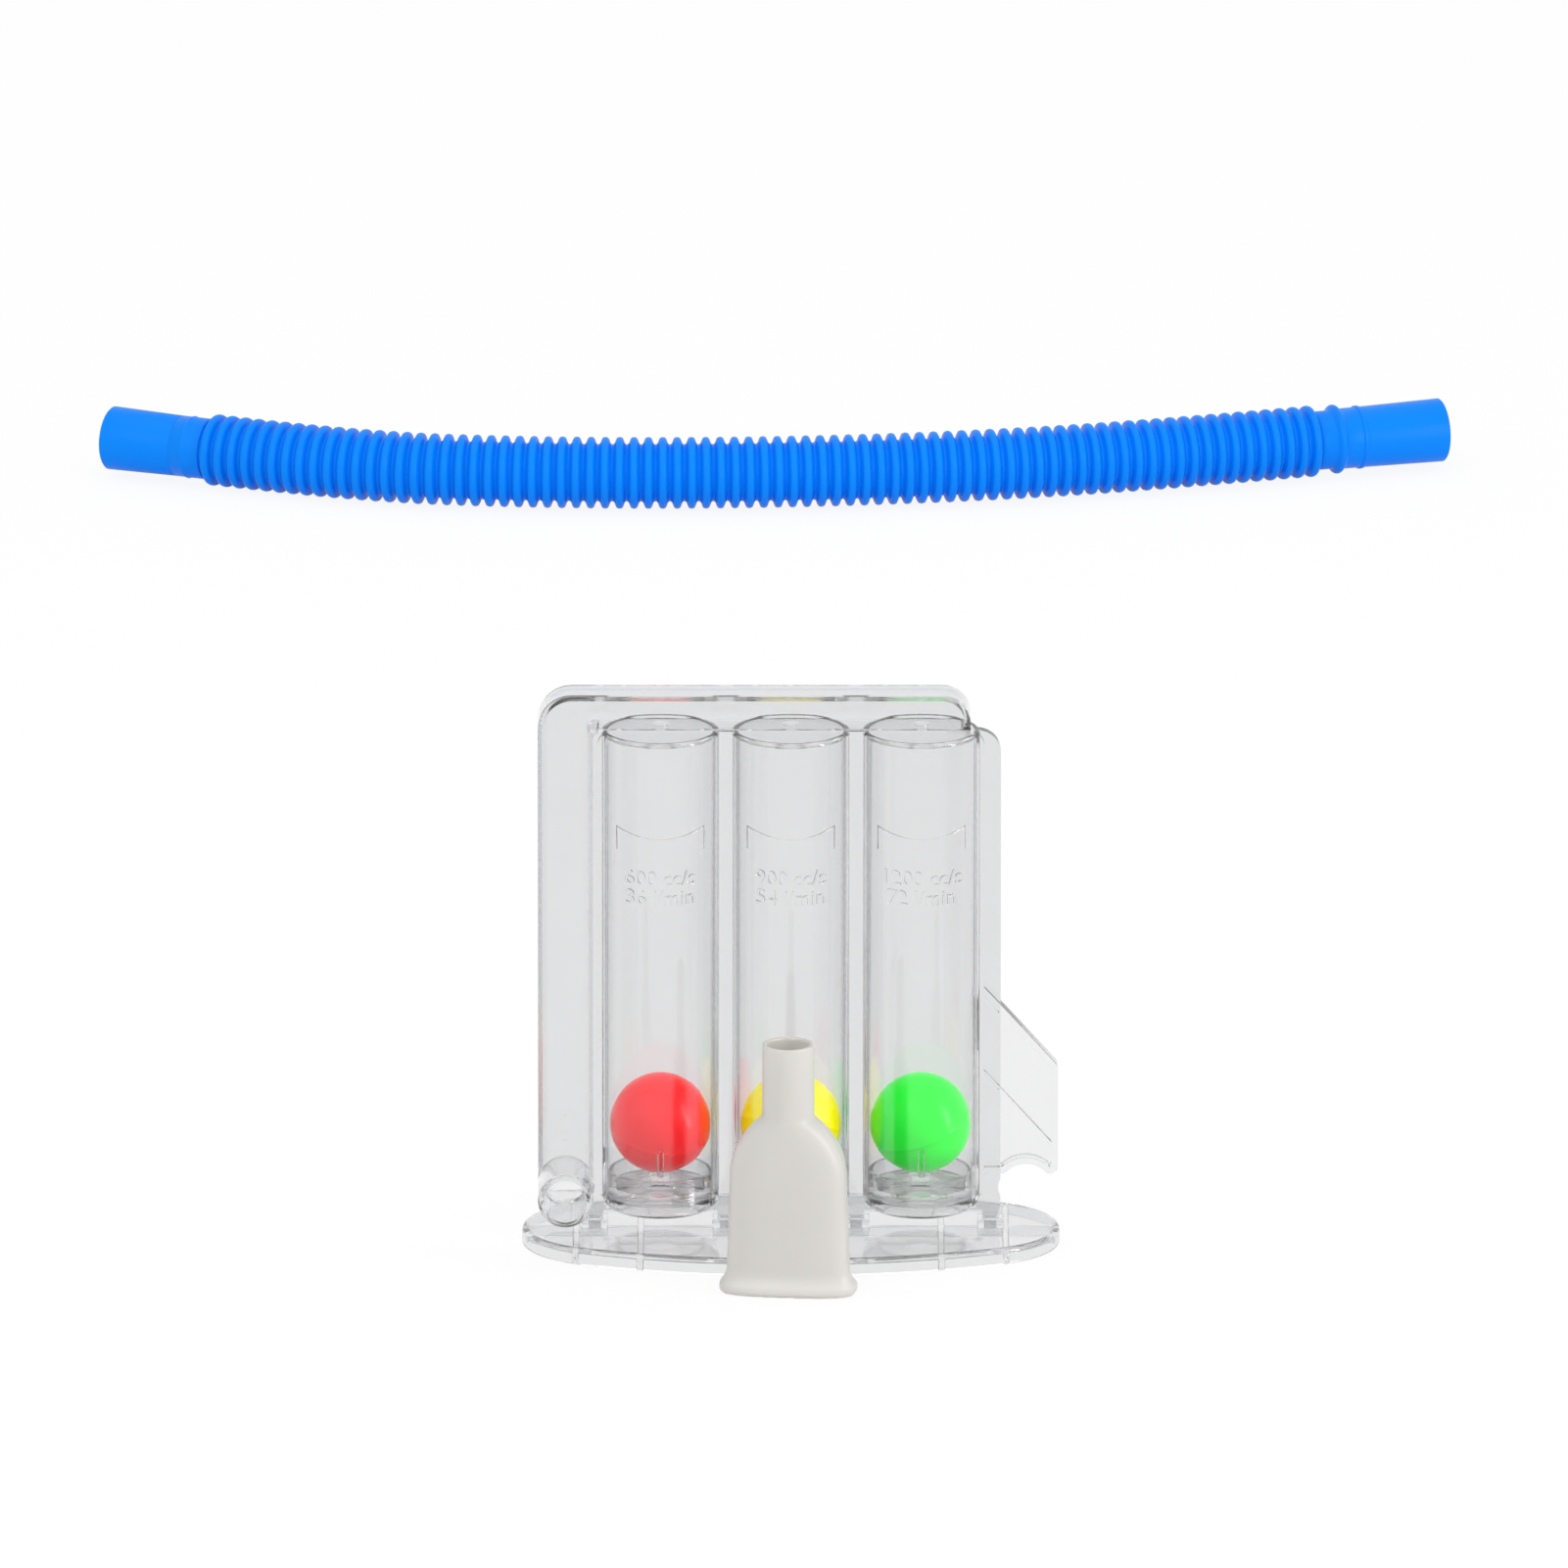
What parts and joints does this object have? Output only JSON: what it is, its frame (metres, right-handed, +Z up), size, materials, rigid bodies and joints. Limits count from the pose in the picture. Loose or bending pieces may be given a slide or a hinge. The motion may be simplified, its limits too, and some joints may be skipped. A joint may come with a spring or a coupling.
{
  "type": "incentive spirometer",
  "caption": "Clear breathing exerciser whose coloured balls rise in upright tubes, on an oval stand, with its loose mouthpiece and corrugated hose.",
  "frame": {"origin": "on the table under the middle tube, in the plane where the two body mouldings meet", "axes": "+Z up along the tubes, -Y towards the reader and along the hose port, +X towards the holder wing"},
  "size_m": [0.3769, 0.8175, 0.1481],
  "materials": {
    "clear_shell": "clear, glossy",
    "clear_base": "clear, glossy",
    "ball_red": "glossy",
    "ball_yellow": "glossy",
    "ball_green": "glossy",
    "milky_plastic": "milky, satin",
    "hose_blue": "satin"
  },
  "bodies": {
    "body": {"front_shell_left": "clear_shell", "front_shell_middle": "clear_shell", "front_shell_right": "clear_shell", "rear_shell_left": "clear_shell", "rear_shell_middle": "clear_shell", "rear_shell_right": "clear_shell", "air_duct": "clear_shell", "hose_port": "clear_shell", "holder_wing": "clear_shell", "base_stand": "clear_base", "ball_seat_left": "clear_shell", "ball_seat_middle": "clear_shell", "ball_seat_right": "clear_shell"},
    "red_ball": {"ball_red": "ball_red"},
    "yellow_ball": {"ball_yellow": "ball_yellow"},
    "green_ball": {"ball_green": "ball_green"},
    "mouthpiece": {"mouthpiece": "milky_plastic"},
    "hose": {"hose_tube": "hose_blue", "hose_cuff_port_end": "hose_blue", "hose_cuff_mouth_end": "hose_blue"}
  },
  "joints": [
    {"name": "red_ball_rise", "type": "slide", "parent": "body", "child": "red_ball", "axis": [0, 0, 1], "range_m": [0, 0.0917]},
    {"name": "yellow_ball_rise", "type": "slide", "parent": "body", "child": "yellow_ball", "axis": [0, 0, 1], "range_m": [0, 0.0917]},
    {"name": "green_ball_rise", "type": "slide", "parent": "body", "child": "green_ball", "axis": [0, 0, 1], "range_m": [0, 0.0917]},
    {"name": "mouthpiece_lift", "type": "slide", "parent": "body", "child": "mouthpiece", "axis": [0, 0, 1], "range_m": [0, 0.08]},
    {"name": "hose_lift", "type": "slide", "parent": "body", "child": "hose", "axis": [0, 0, 1], "range_m": [0, 0.06]}
  ]
}
